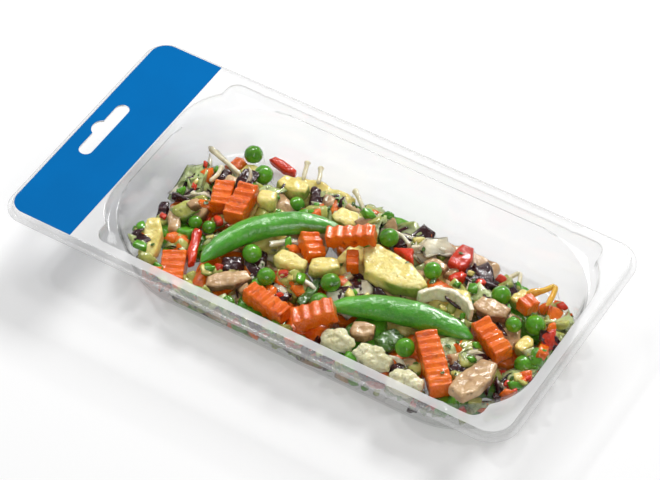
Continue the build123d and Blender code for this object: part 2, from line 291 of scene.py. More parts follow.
def clear_material(name, body, rim, gloss, rough, haze, relief=None):
    """Clear plastic, with painted shade greying it at a grazing angle, clean reflections, and hazy where it
    is sealed.
    """
    s = Shader(name)
    facing = s.add("ShaderNodeLayerWeight")
    facing.inputs["Blend"].default_value = 0.5
    # Painted shade: what the sheet lets through turns grey towards a grazing angle, down to the rim grey, in
    # place of the dark edges that refraction gives.
    grazing_painted_shade = ((0.0, body), (0.78, body), (0.93, 0.5 * (body + rim)), (1.0, rim))
    through = s.add("ShaderNodeBsdfTransparent")
    s.link(s.ramp(facing.outputs["Facing"], grazing_painted_shade), through.inputs["Color"])
    mirror = s.add("ShaderNodeBsdfAnisotropic")
    shine = s.ramp(s.noise(60, 3, 0.5), ((0.3, rough * 0.7), (0.7, rough * 1.4)))
    s.link(shine, mirror.inputs["Roughness"])
    tilt = s.add("ShaderNodeLayerWeight")
    tilt.inputs["Blend"].default_value = 0.5
    if relief is not None:
        relief_scale, depth = relief
        normal = s.bump(s.noise(relief_scale, 2, 0.4), depth, 1.0)
        s.link(normal, mirror.inputs["Normal"])
        s.link(normal, tilt.inputs["Normal"])
    grazing = s.combine("MULTIPLY", s.combine("POWER", tilt.outputs["Facing"], 5.0), 0.8)
    share = s.combine("MULTIPLY", s.combine("ADD", grazing, 0.035), gloss)
    clear = s.over(share, through, mirror)
    veil = s.add("ShaderNodeBsdfDiffuse")
    veil.inputs["Color"].default_value = (0.97, 0.97, 0.97, 1)
    sealed = s.add("ShaderNodeAttribute", attribute_name="seal")
    hazy = s.over(s.combine("MULTIPLY", sealed.outputs["Fac"], haze), clear, veil)
    s.link(hazy.outputs[0], s.out.inputs["Surface"])
    return s.material


def print_material():
    """Blue ink, even but for a faint mottling."""
    s = Shader("blue_print")
    ink = s.ramp(s.noise(35, 3, 0.5), ((0.35, (0.0, 0.137, 0.415)), (0.65, (0.0, 0.147, 0.445))))
    s.surface(Base_Color=ink, Roughness=0.4, Specular_IOR_Level=0.02)
    return s.material


# Each food's colours, from darkest to palest
food_colors = {
    "carrot": ((0.25, (0.64, 0.07, 0.001)), (0.5, (0.88, 0.14, 0.002)), (0.75, (0.96, 0.24, 0.008))),
    "red_pepper": ((0.3, (0.45, 0.012, 0.005)), (0.55, (0.68, 0.03, 0.008)), (0.8, (0.85, 0.1, 0.02))),
    "squash": ((0.25, (0.64, 0.46, 0.08)), (0.5, (0.86, 0.7, 0.18)), (0.8, (0.96, 0.88, 0.42))),
    "mushroom": ((0.25, (0.28, 0.13, 0.05)), (0.5, (0.56, 0.34, 0.16)), (0.8, (0.8, 0.58, 0.33))),
    "wood_ear": ((0.3, (0.012, 0.002, 0.004)), (0.6, (0.04, 0.008, 0.011)), (0.85, (0.1, 0.025, 0.028))),
    "onion": ((0.3, (0.72, 0.6, 0.36)), (0.6, (0.9, 0.82, 0.6)), (0.85, (0.97, 0.94, 0.82))),
    "leaf": ((0.3, (0.02, 0.06, 0.008)), (0.6, (0.06, 0.16, 0.02)), (0.85, (0.16, 0.3, 0.05))),
    "cauliflower": ((0.25, (0.55, 0.5, 0.2)), (0.5, (0.84, 0.8, 0.48)), (0.8, (0.96, 0.94, 0.72))),
    "pea": ((0.3, (0.03, 0.16, 0.004)), (0.55, (0.09, 0.35, 0.012)), (0.8, (0.22, 0.52, 0.035))),
    "olive_flesh": ((0.3, (0.22, 0.25, 0.03)), (0.55, (0.45, 0.46, 0.09)), (0.8, (0.7, 0.7, 0.26))),
    "yellow_pepper": ((0.3, (0.75, 0.3, 0.02)), (0.55, (0.9, 0.5, 0.05)), (0.8, (0.95, 0.7, 0.15))),
    "cabbage": ((0.3, (0.28, 0.4, 0.08)), (0.55, (0.5, 0.6, 0.22)), (0.8, (0.78, 0.82, 0.5))),
    "sprout": ((0.3, (0.62, 0.5, 0.26)), (0.6, (0.82, 0.74, 0.5)), (0.85, (0.93, 0.9, 0.75))),
}
# The rest of each food's material: scale, rough, soak, glow, relief, the relief's scale and the rim
food_skins = {
    "carrot": (90, 0.3, 0.25, (1.0, 0.35, 0.1), 0.0007, 300),
    "red_pepper": (110, 0.2, 0.15, (1.0, 0.2, 0.1), 0.0006, 260),
    "squash": (110, 0.3, 0.3, (1.0, 0.7, 0.3), 0.0007, 300, ((0.16, 0.3, 0.03), 0.8)),
    "mushroom": (120, 0.35, 0.2, (1.0, 0.6, 0.4), 0.0006, 330, ((0.16, 0.07, 0.03), 0.9)),
    "wood_ear": (140, 0.2, 0.05, (1.0, 0.5, 0.2), 0.0009, 220),
    "onion": (90, 0.25, 0.35, (1.0, 0.9, 0.7)),
    "leaf": (130, 0.3, 0.1, (0.4, 1.0, 0.2)),
    "cauliflower": (160, 0.45, 0.3, (1.0, 0.8, 0.5), 0.0005, 900),
    "pea": (80, 0.22, 0.2, (0.5, 1.0, 0.15), 0.00012, 700),
    "olive_flesh": (100, 0.25, 0.3, (0.8, 1.0, 0.3), 0.0004, 500, ((0.06, 0.2, 0.01), 0.8)),
    "yellow_pepper": (90, 0.2, 0.2, (1.0, 0.6, 0.1)),
    "cabbage": (90, 0.2, 0.4, (0.8, 1.0, 0.4)),
    "sprout": (110, 0.25, 0.35, (1.0, 0.8, 0.5)),
}
# Foods that share another's slot
food_slots = {"olive_flesh": "squash", "yellow_pepper": "sprout", "cabbage": "leaf"}


def food_looks():
    """The material and the slot of each kind of food."""
    return {
        name: (food_material(name, stops, *food_skins[name]), food_slots.get(name, name))
        for name, stops in food_colors.items()
    }


# Outlines of the tray


def box_distance(x, y, middle, half_x, half_y, corner):
    """How far points lie outside a rectangle with rounded corners."""
    dx, dy = np.abs(x - middle[0]) - (half_x - corner), np.abs(y - middle[1]) - (half_y - corner)
    return np.hypot(np.maximum(dx, 0), np.maximum(dy, 0)) + np.minimum(np.maximum(dx, dy), 0) - corner


def flange_distance(x, y, grow):
    """Distance from the flange's outline, which has smaller corners at the header."""
    corner = np.where(x < 0, header_corner, end_corner) + grow
    return box_distance(x, y, (0, 0), flange_half[0] + grow, flange_half[1] + grow, corner)


def wall_distance(x, y, grow):
    """Distance from the cavity's main outline."""
    middle = (mouth_middle, 0)
    return box_distance(x, y, middle, mouth_half[0] + grow, mouth_half[1] + grow, wall_corner + grow)


def mouth_distance(x, y, grow):
    """Distance from the mouth's outline, with its four stacking ears."""
    middle = (mouth_middle, 0)
    far = box_distance(x, y, middle, mouth_half[0] + grow, mouth_half[1] + grow, mouth_corner + grow)
    part = grow / 2
    for side in (-1, 1):
        for end in (-1, 1):
            ear = (mouth_middle + end * ear_place[0], side * ear_place[1])
            near = box_distance(x, y, ear, ear_half[0] + part, ear_half[1] + part, ear_corner + part)
            far = np.minimum(far, near)
    return np.minimum(far, wall_distance(x, y, grow))


def reach(outline, grow, angles):
    """How far from the cavity's middle an outline lies, each way."""
    low, high = np.zeros(len(angles)), np.full(len(angles), 0.2)
    for _ in range(30):
        middle = (low + high) / 2
        inside = outline(mouth_middle + middle * np.cos(angles), middle * np.sin(angles), grow) < 0
        low, high = np.where(inside, middle, low), np.where(inside, high, middle)
    return low


def inside_depth(x, y):
    """How far a point lies inside the mouth of the cavity, negative outside."""
    return -float(wall_distance(x, y, 0))


def wall_level(x, y):
    """The height of the cavity's wall or floor under a point."""
    return max(flange_top - inside_depth(x, y) / wall_slope, base_level)


def keep_inside(points):
    """Points moved clear of the tray's floor and wall."""
    x, y, level = points[:, 0], points[:, 1], np.maximum(points[:, 2], base_level + floor_gap)
    need = (flange_top - level) * wall_slope + wall_gap
    dip = np.maximum(foot_level - level, 0)
    bend = foot_depth + bend_gap - np.sqrt(np.maximum(foot_round**2 - dip**2, 0))
    need = np.where(level < foot_level, np.maximum(need, bend), need)
    depth = -wall_distance(x, y, 0)
    nudge = 1e-5
    slope_x = (-wall_distance(x + nudge, y, 0) - depth) / nudge
    slope_y = (-wall_distance(x, y + nudge, 0) - depth) / nudge
    step = np.maximum(need - depth, 0)
    return np.stack((x + slope_x * step, y + slope_y * step, level), axis=1)


# Meshes and pieces


def new_object(name, mesh, material, slot, node=None):
    """Link a mesh as a piece of the pack, dressed and attached to its root."""
    piece = bpy.data.objects.new(name, mesh)
    collection.objects.link(piece)
    mesh.materials.clear()
    mesh.materials.append(material)
    for face in mesh.polygons:
        face.use_smooth = True
    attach(piece, "root")
    if node is not None:
        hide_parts(node)
    return piece


def finished(bm, name):
    """A mesh from what was built by hand."""
    mesh = bpy.data.meshes.new(name)
    bm.to_mesh(mesh)
    bm.free()
    return mesh


def evaluated(scratch):
    """The mesh of a scratch object after its modifiers. The object goes."""
    graph = bpy.context.evaluated_depsgraph_get()
    mesh = bpy.data.meshes.new_from_object(scratch.evaluated_get(graph))
    bpy.data.objects.remove(scratch)
    return mesh


def read_points(mesh):
    """The vertices and normals of a mesh as arrays."""
    points = np.empty(len(mesh.vertices) * 3)
    mesh.vertices.foreach_get("co", points)
    normals = np.empty(len(mesh.vertices) * 3)
    mesh.vertices.foreach_get("normal", normals)
    return points.reshape(-1, 3), normals.reshape(-1, 3)


def write_points(mesh, points):
    """Put moved vertices back."""
    mesh.vertices.foreach_set("co", points.ravel())
    mesh.update()


def shade(mesh, name, values):
    """Store a number at each vertex for the material to read."""
    layer = mesh.attributes.new(name, "FLOAT", "POINT")
    layer.data.foreach_set("value", np.asarray(values, dtype=np.float32))


def tube_faces(bm, rings):
    """Close a row of rings into a solid."""
    around = len(rings[0])
    for a, b in zip(rings, rings[1:]):
        for k in range(around):
            bm.faces.new((a[k], a[(k + 1) % around], b[(k + 1) % around], b[k]))
    bm.faces.new(rings[0])
    bm.faces.new(reversed(rings[-1]))


def surface_tree(pieces):
    """One search tree over the finished meshes."""
    points, faces = [], []
    for piece in pieces:
        start = len(points)
        points.extend(v.co.copy() for v in piece.data.vertices)
        faces.extend([start + i for i in face.vertices] for face in piece.data.polygons)
    return BVHTree.FromPolygons(points, faces)


def seen_from_above(tree, x, y):
    """What a look straight down meets, or None."""
    return tree.ray_cast(Vector((x, y, above)), down)[0]


# Food forms


def field(points, wave, seed):
    """Smooth noise from -1 to 1 at each point, with features of so many metres."""
    shift = Vector((seed * 3.1, seed * 1.7, seed * 2.3))
    return np.array([noise.fractal(Vector(p) / wave + shift, 0.7, 2.1, 2) for p in points])


def hash_name(name):
    """A small steady number from a name."""
    return sum(ord(letter) * (i + 3) for i, letter in enumerate(name)) % 97


def cut_look(name, voxel, soften, coarse, fine, material, slot):
    """A cut piece of food from its solid: one skin with soft edges, uneven as a knife and cooking leave it.

    Coarse and fine are pairs of depth and feature size.
    """
    scratch = bpy.data.objects.new("scratch", nodes[name].data.copy())
    collection.objects.link(scratch)
    remesh = scratch.modifiers.new("remesh", "REMESH")
    remesh.mode = "VOXEL"
    remesh.voxel_size = voxel
    smooth = scratch.modifiers.new("smooth", "SMOOTH")
    smooth.iterations = soften
    smooth.factor = 0.5
    mesh = evaluated(scratch)
    points, normals = read_points(mesh)
    push = np.zeros(len(points))
    for depth, wave in (coarse, fine):
        push += depth * field(points, wave, hash_name(name))
    write_points(mesh, keep_inside(points + normals * push[:, None]))
    return new_object(name + "_look", mesh, material, slot, name)


def islands(mesh):
    """The separate solids of a mesh, each as its vertices."""
    bm = bmesh.new()
    bm.from_mesh(mesh)
    bmesh.ops.remove_doubles(bm, verts=bm.verts, dist=1e-6)
    seen = set()
    groups = []
    for start in bm.verts:
        if start in seen:
            continue
        stack, group = [start], []
        seen.add(start)
        while stack:
            vert = stack.pop()
            group.append(vert.co.copy())
            for edge in vert.link_edges:
                other = edge.other_vert(vert)
                if other not in seen:
                    seen.add(other)
                    stack.append(other)
        groups.append(group)
    bm.free()
    return groups


def peas_look(material, slot):
    """Round peas, a little flattened and wrinkled, each with its dimple."""
    bm = bmesh.new()
    for number, group in enumerate(islands(nodes["peas"].data)):
        low = Vector(min(v[i] for v in group) for i in range(3))
        high = Vector(max(v[i] for v in group) for i in range(3))
        middle, radius = (low + high) / 2, (high.x - low.x) / 2
        start = len(bm.verts)
        bmesh.ops.create_icosphere(bm, subdivisions=4, radius=radius)
        bm.verts.ensure_lookup_table()
        way = Vector((random.uniform(-1, 1), random.uniform(-1, 1), random.uniform(0.2, 1))).normalized()
        squash = random.uniform(0.9, 0.98)
        for vert in bm.verts[start:]:
            unit = vert.co.normalized()
            wrinkle = noise.fractal(unit * 2.2 + Vector((number, 0, 0)), 0.8, 2.0, 3)
            dimple = math.exp(-((1 - unit.dot(way)) / 0.03) ** 2)
            out = radius * (0.97 + 0.025 * wrinkle - 0.08 * dimple)
            vert.co = middle + Vector((unit.x, unit.y, unit.z * squash)) * out
    return new_object("peas_look", finished(bm, "peas_look"), material, slot, "peas")


def shoot(bm, path, thick, seed):
    """A soft shoot along a smoothed path, thicker at its head, closed at both ends."""
    rings = []
    last = len(path) - 1
    steps, around = 8 * last, 14
    for i in range(steps + 1):
        share = i / steps * last
        piece = min(int(share), last - 1)
        t = share - piece
        before, a, b, after = (path[min(max(piece + k, 0), last)] for k in (-1, 0, 1, 2))
        square = (2 * before - 5 * a + 4 * b - after) * t**2
        cube = (3 * a - before - 3 * b + after) * t**3
        spot = 0.5 * (2 * a + (b - before) * t + square + cube)
        ahead = (b - a).normalized()
        across = ahead.cross(Vector((0, 0, 1))).normalized()
        rise = across.cross(ahead)
        end = min(i, steps - i) / steps
        head = 1 + 0.55 * math.exp(-((i / steps - 0.1) / 0.09) ** 2)
        radius = thick * (0.35 + 0.65 * min(end * 9, 1)) * head
        ring = []
        for k in range(around):
            turn = 2 * math.pi * k / around
            wave = 1 + 0.15 * noise.noise(spot * 400 + Vector((turn, seed, 0)))
            out = across * math.cos(turn) + rise * math.sin(turn)
            ring.append(bm.verts.new(spot + out * radius * wave))
        rings.append(ring)
    tube_faces(bm, rings)


# Millimetres from the middle of the cavity's floor: where each shoot lies, and its bends from there
sprout_paths = (
    ((-73, 24.5, 7.4), ((-12, 5.5), (-4, 3), (4, -1), (11, -5.5))),
    ((-76, 25.5, 9.4), ((-10, 3.5), (-3, 1), (4, -1), (10, -3))),
    ((-73.5, 16.5, 11), ((-1, 5), (0, 0), (-0.5, -5))),
    ((-46, 40.5, 6.8), ((-2, 5), (0, 0), (2, -5))),
    ((-39.5, 40.5, 7.2), ((-2, 5), (0.5, 0), (2, -4))),
    ((-16.5, 36, 7.6), ((-6.5, 5.5), (-1, 1), (6.5, -5.5))),
    ((55.5, 35.8, 2.5), ((-4.5, -5), (-2, 2), (0, 5), (2, 1), (4, -5))),
    ((-74, 3.5, 7.8), ((-5, 1), (0, 0.5), (5, -1))),
)
pepper_tip_path = ((66.5, 25, 12), (71.5, 30, 12.3), (74.5, 34, 12.6), (76, 30, 12.4), (76.5, 24, 12))


def from_floor(x, y, z):
    """A point in millimetres from the middle of the cavity's floor."""
    return Vector((mouth_middle + x / 1000, y / 1000, base_level + z / 1000))


def sprouts_look(looks):
    """Bean sprouts and one thin pepper tip, round instead of cut square, each along its own solid."""
    bm = bmesh.new()
    for number, (at, bends) in enumerate(sprout_paths):
        shoot(bm, [from_floor(at[0] + x, at[1] + y, at[2]) for x, y in bends], 0.00095, number)
    mesh = finished(bm, "bean_sprouts_look")
    sprouts = new_object("bean_sprouts_look", mesh, *looks["sprout"], "bean_sprouts")
    bm = bmesh.new()
    shoot(bm, [from_floor(*spot) for spot in pepper_tip_path], 0.0012, 11)
    mesh = finished(bm, "yellow_pepper_tip")
    return [sprouts, new_object("yellow_pepper_tip", mesh, *looks["yellow_pepper"], "bean_sprouts")]


def pod_look(name, material, at, turn, chord, rise, width, thick, stem_first, seed):
    """A sugar snap pod: full over each seed, with a seam along its outer edge, and drawn-out tips."""
    arc_radius = chord**2 / (8 * rise) + rise / 2
    half_turn = math.asin(chord / 2 / arc_radius)
    steps, around = 150, 48
    bm = bmesh.new()
    rings = []
    turned = Matrix.Translation(at) @ Matrix.Rotation(math.radians(turn), 4, "Z")
    for i in range(steps + 1):
        share = 2 * i / steps - 1
        angle = share * half_turn
        full = max(max(1 - abs(share) ** 2.6, 0) ** 0.62, 0.06)
        bulge = 1 + 0.05 * math.cos((share + 1) * 3.2 * math.pi + seed) * (1 - share**2)
        ring = []
        for k in range(around):
            t = 2 * math.pi * k / around
            c, s = math.cos(t), math.sin(t)
            out = 0.49 * width * full * math.copysign(abs(c) ** 0.92, c)
            up = 0.49 * thick * full * bulge * math.copysign(abs(s) ** 1.05, s)
            seam = math.exp(-((t if t < math.pi else t - 2 * math.pi) / 0.14) ** 2)
            out += 0.00035 * seam * full
            wave = 0.0002 * noise.fractal(Vector((share * 6, c * 1.4, s * 1.4 + seed)), 0.8, 2, 2)
            spread = arc_radius + out + wave
            x = spread * math.sin(angle)
            y = spread * math.cos(angle) - arc_radius + rise / 2
            ring.append(bm.verts.new(turned @ Vector((x, y, up + wave))))
        rings.append(ring)
    tube_faces(bm, rings)
    bmesh.ops.recalc_face_normals(bm, faces=bm.faces)
    mesh = finished(bm, name + "_look")
    stem = 0 if stem_first else steps
    shade(mesh, "tip", [max(0, 1 - abs(i - stem) / 7) for i in range(steps + 1) for _ in range(around)])
    return new_object(name + "_look", mesh, material, "sugar_snap", name)


# How each cut food is worked: size of voxel, rounds of smoothing, coarse and fine unevenness
cuts = {
    "carrot": (0.00042, 4, (0.0003, 0.006), (0.00012, 0.0015)),
    "red_pepper": (0.0004, 8, (0.0006, 0.007), (0.0001, 0.002)),
    "mushroom": (0.0004, 8, (0.0005, 0.006), (0.00015, 0.0015)),
    "squash": (0.00045, 7, (0.0005, 0.006), (0.00015, 0.0014)),
    "wood_ear": (0.0004, 7, (0.0007, 0.004), (0.00015, 0.0014)),
    "onion": (0.0004, 6, (0.0004, 0.005), (0.0001, 0.0015)),
    "leaf": (0.0004, 6, (0.0009, 0.004), (0.0002, 0.0014)),
    "cauliflower": (0.0004, 6, (0.0006, 0.003), (0.0003, 0.0011)),
}
lower_cut = (0.0008, 6, (0.0011, 0.009), (0.0004, 0.003))
# The lowest layer: what each looks like, and its slot
lower_foods = {
    "lower_carrots": ("carrot", "carrot"),
    "lower_greens": ("pea", "sugar_snap"),
    "lower_mushrooms": ("mushroom", "mushroom"),
    "lower_squash": ("squash", "squash"),
}


def build_food(looks):
    """Every vegetable, from the solids of the frame."""
    pieces = []
    for name in sorted(nodes):
        if name in lower_foods:
            food_kind, slot = lower_foods[name]
            pieces.append(cut_look(name, *lower_cut, looks[food_kind][0], slot))
            continue
        food_kind = next((kind for kind in cuts if name.startswith(kind)), None)
        if food_kind is not None:
            pieces.append(cut_look(name, *cuts[food_kind], *looks[food_kind]))
    pieces.append(peas_look(*looks["pea"]))
    pieces.extend(sprouts_look(looks))
    skin_of_pod = pod_material()
    at = Vector((mouth_middle + 0.0325, -0.014, base_level + 0.016))
    pieces.append(pod_look("pod_front", skin_of_pod, at, turn=15.7, chord=0.0587, rise=0.0056,
                           width=0.012, thick=0.009, stem_first=True, seed=1))
    at = Vector((mouth_middle - 0.035, -0.0055, base_level + 0.016))
    pieces.append(pod_look("pod_back", skin_of_pod, at, turn=48.5, chord=0.0585, rise=0.011,
                           width=0.011, thick=0.009, stem_first=False, seed=4))
    return pieces


# Small bits between and on the pieces

# Half lengths, widths and heights, for a bit of size 1
bit_shapes = {
    "crumb": (0.52, 0.4, 0.3),
    "shred": (1.0, 0.14, 0.1),
    "flake": (0.55, 0.42, 0.06),
    "curl": (0.75, 0.38, 0.07),
}
# The lowest and the highest level of each layer
bed = (0.001, 0.0095)
middling = (0.004, 0.0155)
top = (0.004, 0.0175)
anywhere = (0.004, 0.027)
# Name, count, shape, least and greatest size, layer and look
bit_rounds = (
    (
        ("bed_green", 45, "crumb", (0.009, 0.013), bed, "pea"),
        # The dark wood-ear curls low in the bed are real food and also painted shade, darkening the deep
        # gaps between the pieces.
        ("bed_wood_ear_and_painted_shade", 50, "curl", (0.009, 0.014), bed, "wood_ear"),
        ("bed_olive", 55, "crumb", (0.009, 0.013), bed, "olive_flesh"),
        ("bed_orange", 40, "crumb", (0.009, 0.013), bed, "carrot"),
        ("bed_brown", 30, "crumb", (0.009, 0.013), bed, "mushroom"),
        ("bed_cabbage", 60, "curl", (0.009, 0.014), bed, "cabbage"),
    ),
    (
        ("cabbage_curls", 44, "curl", (0.009, 0.015), middling, "cabbage"),
        ("dark_curls", 34, "curl", (0.009, 0.015), middling, "wood_ear"),
        ("olive_bits", 36, "crumb", (0.006, 0.010), middling, "olive_flesh"),
        ("onion_curls", 34, "curl", (0.009, 0.015), middling, "onion"),
        ("brown_bits", 22, "crumb", (0.006, 0.009), middling, "mushroom"),
        ("orange_bits", 24, "crumb", (0.006, 0.009), middling, "carrot"),
        ("pale_shreds", 30, "shred", (0.006, 0.011), middling, "onion"),
    ),
    (
        ("herb_flakes", 90, "flake", (0.0014, 0.0030), anywhere, "leaf"),
        ("red_bits", 16, "crumb", (0.003, 0.0055), top, "red_pepper"),
        ("dark_shreds", 18, "shred", (0.003, 0.006), top, "wood_ear"),
        ("cream_bits", 24, "crumb", (0.003, 0.006), top, "squash"),
        ("small_greens", 30, "crumb", (0.003, 0.0055), top, "pea"),
    ),
)
# Bits against the wall: name, count, shape and look
wall_bits = (
    ("wall_orange", 34, "crumb", "carrot"),
    ("wall_green", 44, "crumb", "pea"),
    ("wall_dark", 46, "curl", "wood_ear"),
    ("wall_cabbage", 60, "curl", "cabbage"),
    ("wall_olive", 50, "crumb", "olive_flesh"),
    ("wall_red", 18, "crumb", "red_pepper"),
)
wall_bit_size = (0.004, 0.008)
wall_bit_levels = (0.005, 0.014)
wall_bit_turns = (math.radians(-165), math.radians(15))
wall_bit_gap = 0.0014

# Where loose bits fall, and which of them stay
bit_length = (-0.07, 0.099)
bit_width = (-0.046, 0.031)
bit_tries = 12
bit_edge_gap = 0.0055
covering_size = 0.0055
covering_share = 0.15
steepest = 0.004


def chunk(bm, at, size, kind, seed):
    """One small bit: a crumb, a shred, a flake or a curl, turned any way."""
    start = len(bm.verts)
    bmesh.ops.create_icosphere(bm, subdivisions=2, radius=1)
    bm.verts.ensure_lookup_table()
    scale = [way * random.uniform(0.75, 1.2) for way in bit_shapes[kind]]
    turn = Matrix.Rotation(random.uniform(0, 6.28), 3, "Z")
    turn = turn @ Matrix.Rotation(random.uniform(-0.6, 0.6), 3, "X")
    turn = turn @ Matrix.Rotation(random.uniform(-0.5, 0.5), 3, "Y")
    bend, skew = random.uniform(-0.6, 0.6), random.uniform(-0.5, 0.5)
    for vert in bm.verts[start:]:
        unit = vert.co.normalized()
        blocky = Vector(math.copysign(abs(c) ** 0.45, c) for c in unit)
        lump = 1 + 0.3 * noise.noise(unit * 1.6 + Vector((seed, 0, 0)))
        lump += 0.12 * noise.noise(unit * 4 + Vector((0, seed, 0)))
        local = Vector(blocky[i] * scale[i] for i in range(3)) * lump * size * 0.85
        local.x += skew * local.y
        if kind == "shred":
            local.y += bend * local.x**2 / size
            local.z += 0.25 * bend * size * math.sin(local.x / size * 3 + seed)
        if kind in ("flake", "curl"):
            local.z += 0.3 * size * noise.noise(unit * 2.2 + Vector((0, seed, 0)))
        if kind == "curl":
            local.z -= (0.5 + 0.6 * abs(bend)) * local.x**2 / size
        vert.co = at + turn @ local


def top_level(tree, x, y):
    """The height of what lies at a point: the food, or else the floor or wall of the tray."""
    hit = seen_from_above(tree, x, y)
    return wall_level(x, y) if hit is None else max(hit.z, wall_level(x, y))


def bits_object(name, bm, material, slot):
    """Small bits as one piece, clear of the tray."""
    mesh = finished(bm, name)
    write_points(mesh, keep_inside(read_points(mesh)[0]))
    return new_object(name, mesh, material, slot)


def scatter(name, tree, features, count, kind, size, layer, material, slot):
    """Small bits dropped between the big pieces, onto what lies lower than the layer's top."""
    bm = bmesh.new()
    placed = 0
    for _ in range(count * bit_tries):
        x, y = random.uniform(*bit_length), random.uniform(*bit_width)
        big = random.uniform(*size)
        level = top_level(tree, x, y)
        if inside_depth(x, y) < bit_edge_gap + 0.3 * big or level > layer[1]:
            continue
        covered = any(
            seen_from_above(features, x + dx * big, y + dy * big) is not None
            for dx, dy in ((0, 0), (0.3, 0), (-0.3, 0), (0, 0.3), (0, -0.3))
        )
        if covered and (big > covering_size or random.random() > covering_share):
            continue
        around = ((0.5, 0), (-0.5, 0), (0, 0.5), (0, -0.5))
        low = min(top_level(tree, x + dx * big, y + dy * big) for dx, dy in around)
        if level - low > steepest:
            continue
        lowest = max(0.35 * level + 0.65 * low, layer[0])
        height = random.uniform(lowest, max(level, layer[0])) + 0.18 * big
        chunk(bm, Vector((x, y, height)), big, kind, placed)
        placed += 1
        if placed >= count:
            break
    return bits_object(name, bm, material, slot)


def line_wall(name, count, kind, material, slot):
    """Small bits pressed against the inside of the tray's wall, where it shows from the side."""
    bm = bmesh.new()
    for number in range(count):
        turn = random.uniform(*wall_bit_turns)
        level, big = random.uniform(*wall_bit_levels), random.uniform(*wall_bit_size)
        inset = -(flange_top - level) * wall_slope - wall_bit_gap - 0.62 * big
        far = reach(wall_distance, inset, np.array([turn]))[0]
        at = Vector((mouth_middle + far * math.cos(turn), far * math.sin(turn), level))
        chunk(bm, at, big, kind, number)
    return bits_object(name, bm, material, slot)


def lay_bits(food, looks):
    """All the small bits: a bed in the gaps, then middling bits, then flakes and crumbs on top."""
    features = surface_tree([piece for piece in food if not piece.name.startswith("lower")])
    bits = []
    for group in bit_rounds:
        tree = surface_tree(food + bits)
        for name, count, kind, size, layer, look in group:
            bits.append(scatter(name, tree, features, count, kind, size, layer, *looks[look]))
    for name, count, kind, look in wall_bits:
        bits.append(line_wall(name, count, kind, *looks[look]))
    return bits


# The tray, the film and the printed panel


def arc(x, y, radius, first, sweep, steps):
    """Points along an arc, its angles in degrees."""
    turns = [math.radians(first + sweep * i / steps) for i in range(steps + 1)]
    return [(x + radius * math.cos(turn), y + radius * math.sin(turn)) for turn in turns]


def sheet_profile():
    """The formed sheet from its lip inwards: skirt, flange, mouth, ledge, wall and the bend to the floor.

    Each ring is an outline, how far it is grown, and its height.
    """
    rings = [(flange_distance, lip_width, lip_level), (flange_distance, lip_width / 2, lip_level)]
    skirt = arc(lip_round, lip_level + lip_round, lip_round, -90, -90, 4)
    shoulder = arc(-flange_round, flange_top - flange_round, flange_round, 0, 90, 5)
    rings.extend((flange_distance, grow, level) for grow, level in skirt + shoulder)
    rings.append((flange_distance, -0.0016, flange_top))
    rings.append((mouth_distance, 0.0016, flange_top))
    edge = arc(mouth_round, flange_top - mouth_round, mouth_round, 90, 90, 5)
    rings.extend((mouth_distance, grow, level) for grow, level in edge)
    for level in (0.027, 0.0255, ledge_level + 0.0005):
        rings.append((mouth_distance, -(flange_top - level) * wall_slope, level))
    foot = -(flange_top - ledge_level) * wall_slope
    for share, rise in ((0.15, 0.00015), (0.5, 0.00003), (1.0, 0)):
        rings.append((mouth_distance, foot - 0.0006 * share, ledge_level + rise))
    for share, fall in ((1.0, 0), (0.4, 0.00006), (0.0, 0.0004)):
        rings.append((wall_distance, foot + 0.0006 * share, ledge_level - fall))
    for level in (0.022, 0.019, 0.016, 0.013, 0.010, 0.007):
        rings.append((wall_distance, -(flange_top - level) * wall_slope, level))
    bend = arc(-foot_depth, foot_level, foot_round, -12, -78, 8)
    rings.extend((wall_distance, grow, level) for grow, level in bend)
    return rings


def swept(rings, angles, shares):
    """Rows of points along each ring of the sheet, then on the floor at shares of the way out."""
    rows = []
    last = np.full(len(angles), 1.0)
    foot = -(flange_top - ledge_level) * wall_slope
    for outline, grow, level in rings:
        far = reach(outline, grow, angles)
        if outline is mouth_distance and level < ledge_level + 0.0004:
            far = np.maximum(far, reach(wall_distance, foot, angles))
        last = np.minimum(last, far)
        rows.append((last, level))
    rows.extend((last * share, base_level) for share in shares)
    across, along = np.cos(angles), np.sin(angles)
    return [
        np.stack((mouth_middle + far * across, far * along, np.full(len(angles), level)), axis=1)
        for far, level in rows
    ]


def skin(rows, keep=None):
    """A mesh over rows of points, closed at its middle, without the faces that keep turns down."""
    around = len(rows[0])
    points = np.concatenate(rows)
    verts = [tuple(point) for point in points]
    faces = []
    for ring in range(len(rows) - 1):
        for k in range(around):
            a, b = ring * around + k, ring * around + (k + 1) % around
            if keep is None or keep((points[a] + points[b + around]) / 2):
                faces.append((a, b, b + around, a + around))
    start = (len(rows) - 1) * around
    verts.append(tuple(points[start:].mean(axis=0)))
    faces.extend((start + k, start + (k + 1) % around, len(verts) - 1) for k in range(around))
    mesh = bpy.data.meshes.new("sheet")
    mesh.from_pydata(verts, [], faces)
    return mesh


def slab(name, outline, level, thickness):
    """A flat outline given a thickness upwards."""
    bm = bmesh.new()
    base = bm.faces.new([bm.verts.new((x, y, level)) for x, y in outline])
    lifted = bmesh.ops.extrude_face_region(bm, geom=[base])["geom"]
    moved = [item for item in lifted if isinstance(item, bmesh.types.BMVert)]
    bmesh.ops.translate(bm, vec=(0, 0, thickness), verts=moved)
    bmesh.ops.recalc_face_normals(bm, faces=bm.faces)
    return finished(bm, name)


